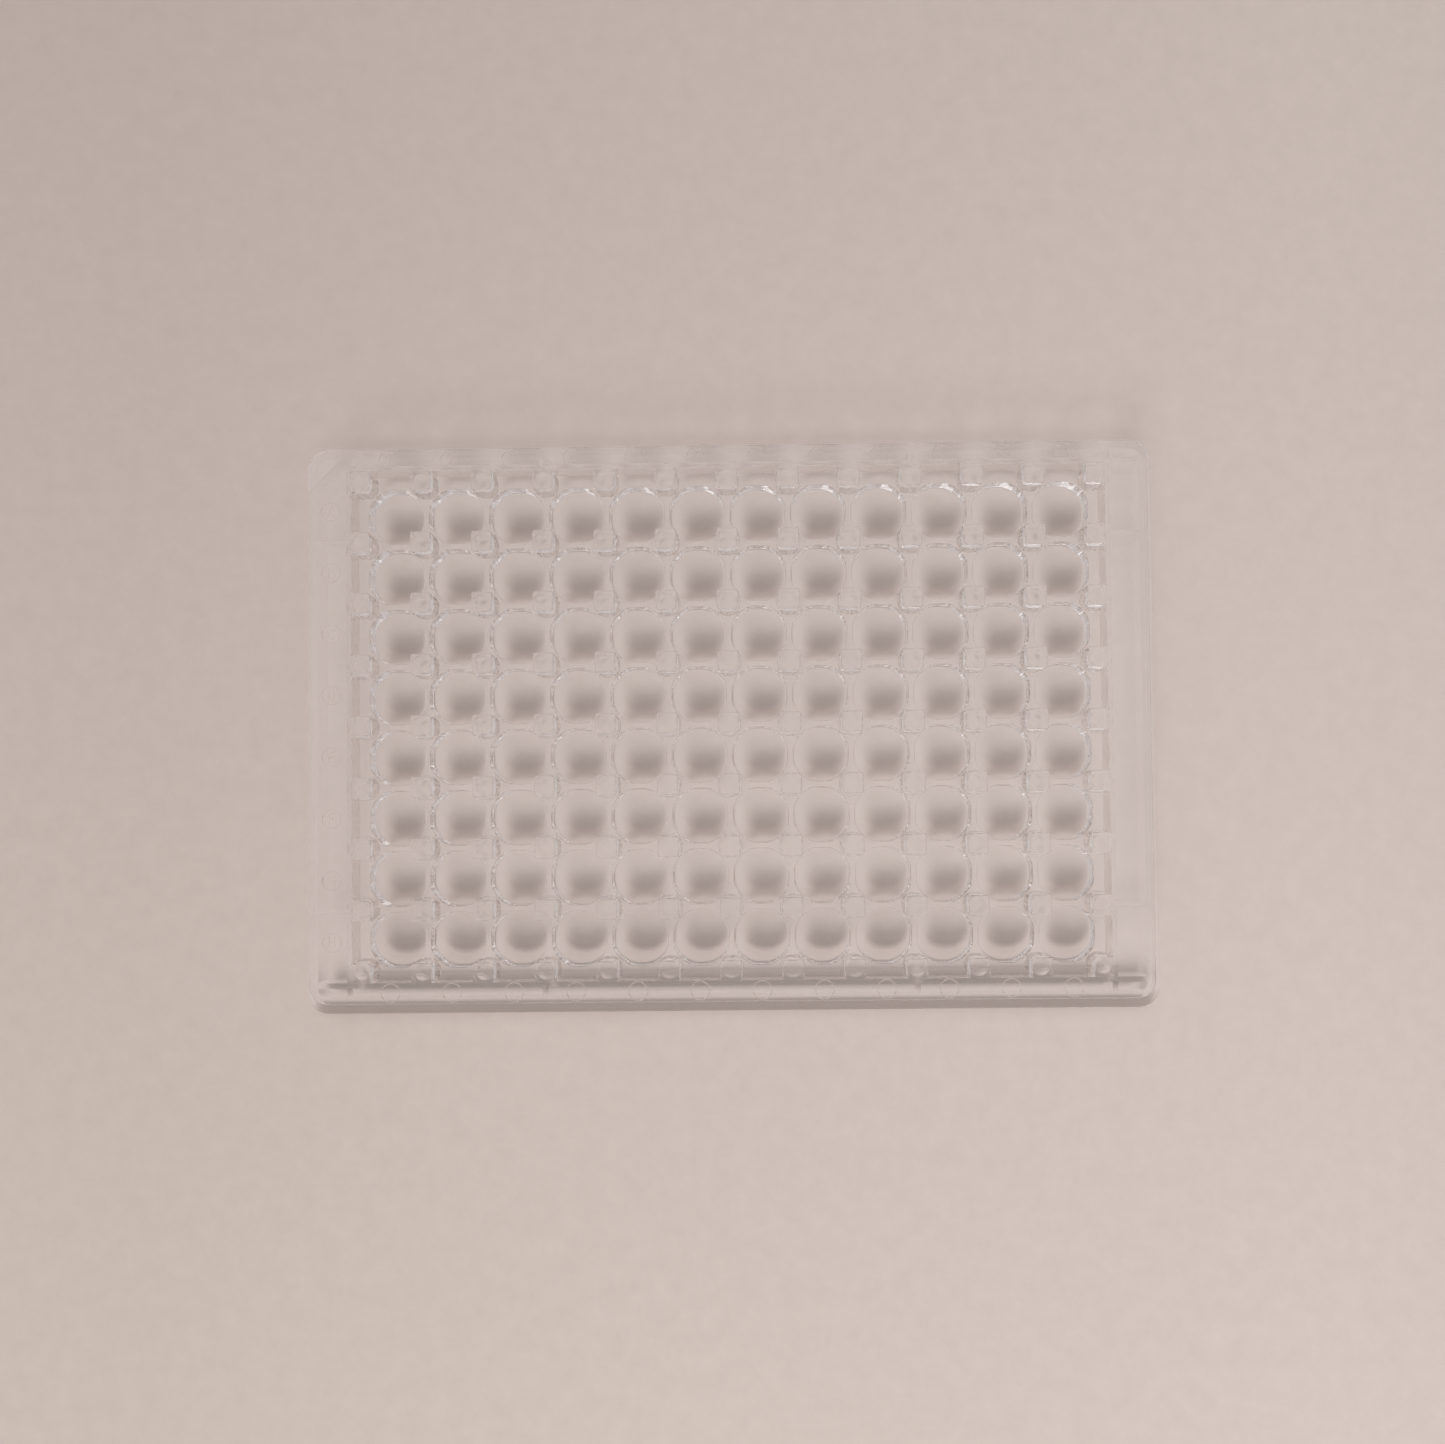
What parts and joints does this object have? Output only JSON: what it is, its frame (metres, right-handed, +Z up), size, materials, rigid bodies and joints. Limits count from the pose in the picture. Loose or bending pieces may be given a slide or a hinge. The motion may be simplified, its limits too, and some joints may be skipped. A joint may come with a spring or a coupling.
{
  "type": "well plate",
  "caption": "Clear one-piece microtiter plate: a grid of round, flat-floored wells with a square post at every corner, sunk inside a deck and skirt with a base flange and one cut corner.",
  "frame": {"origin": "centre of the footprint, on the plane the plate stands on", "axes": "+X along a row from column 1 to column 12, +Y from row H to row A, +Z up out of the wells"},
  "size_m": [0.1278, 0.0854, 0.0143],
  "materials": {
    "clear_polystyrene": "clear, glossy, as moulded"
  },
  "bodies": {
    "root": {"plate_body": "clear_polystyrene"}
  },
  "joints": []
}
